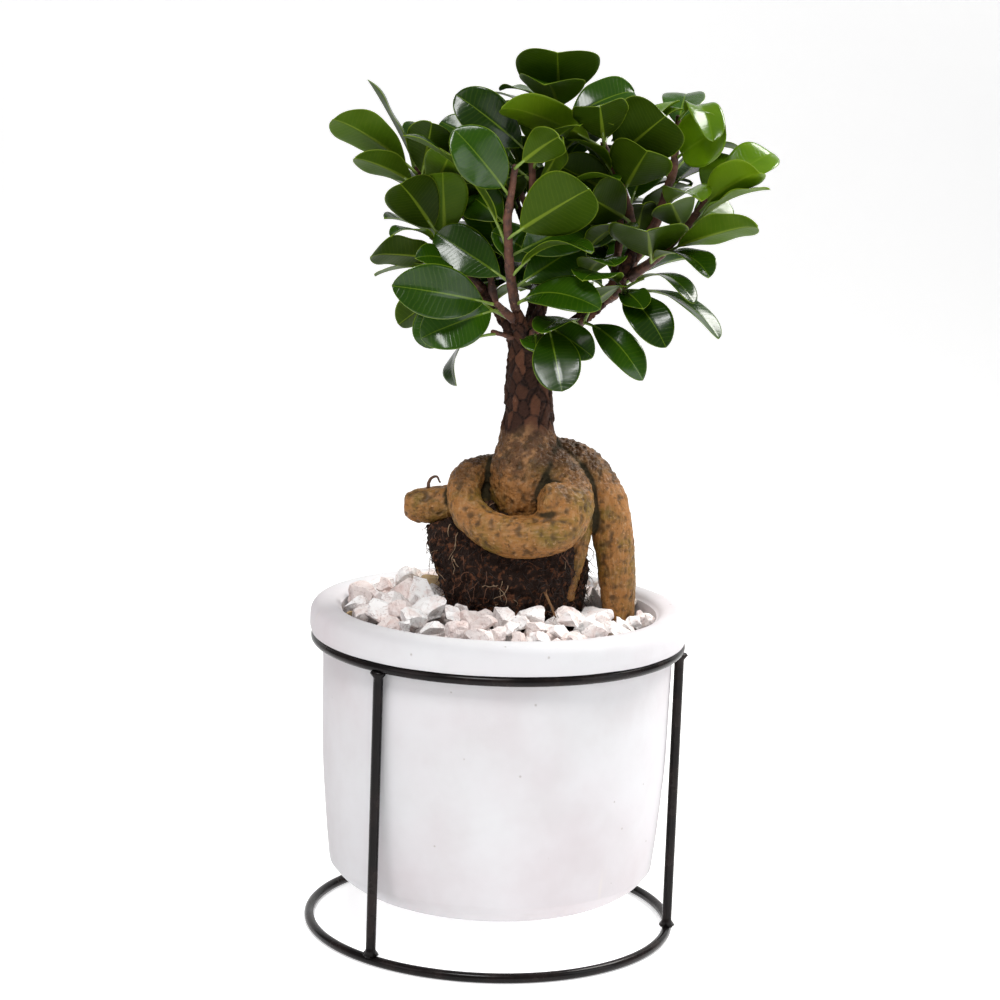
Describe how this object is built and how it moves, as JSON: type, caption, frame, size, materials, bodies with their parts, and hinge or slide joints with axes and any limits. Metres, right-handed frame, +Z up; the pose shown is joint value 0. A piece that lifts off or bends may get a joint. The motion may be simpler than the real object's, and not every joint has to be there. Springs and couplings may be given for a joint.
{
  "type": "bonsai tree in a pot",
  "caption": "Ginseng fig bonsai with a looped rootstock and a leafy crown, in a white round pot under crushed stone, hung by its rim in a black wire ring stand.",
  "frame": {"origin": "middle of the model's bounding box on the surface it stands on; the pot's axis is 16.5 mm to the left of it", "axes": "+Z up along the pot's axis, -Y towards the viewer, +X to the side that the crown leans to"},
  "size_m": [0.2288, 0.195, 0.454],
  "materials": {
    "black_wire": "satin",
    "white_cement": "matte",
    "potting_soil": "matte",
    "marble_chips": "matte",
    "bark": "satin",
    "root_lump": "matte",
    "fig_leaf": "satin"
  },
  "bodies": {
    "root": {"gravel": "marble_chips", "pot": "white_cement", "root_mass": "root_lump", "shoot_01": "fig_leaf", "shoot_02": "fig_leaf", "shoot_03": "fig_leaf", "shoot_04": "fig_leaf", "shoot_05": "fig_leaf", "shoot_06": "fig_leaf", "shoot_07": "fig_leaf", "shoot_08": "fig_leaf", "shoot_09": "fig_leaf", "shoot_10": "fig_leaf", "shoot_11": "fig_leaf", "shoot_12": "fig_leaf", "shoot_13": "fig_leaf", "shoot_14": "fig_leaf", "shoot_15": "fig_leaf", "shoot_16": "fig_leaf", "shoot_17": "fig_leaf", "shoot_18": "fig_leaf", "shoot_19": "fig_leaf", "shoot_20": "fig_leaf", "shoot_21": "fig_leaf", "shoot_22": "fig_leaf", "shoot_23": "fig_leaf", "shoot_24": "fig_leaf", "shoot_25": "fig_leaf", "shoot_26": "fig_leaf", "shoot_27": "fig_leaf", "soil": "potting_soil", "stand_base_ring": "black_wire", "stand_leg_1": "black_wire", "stand_leg_2": "black_wire", "stand_leg_3": "black_wire", "stand_top_ring": "black_wire", "trunk": "bark"}
  },
  "joints": []
}
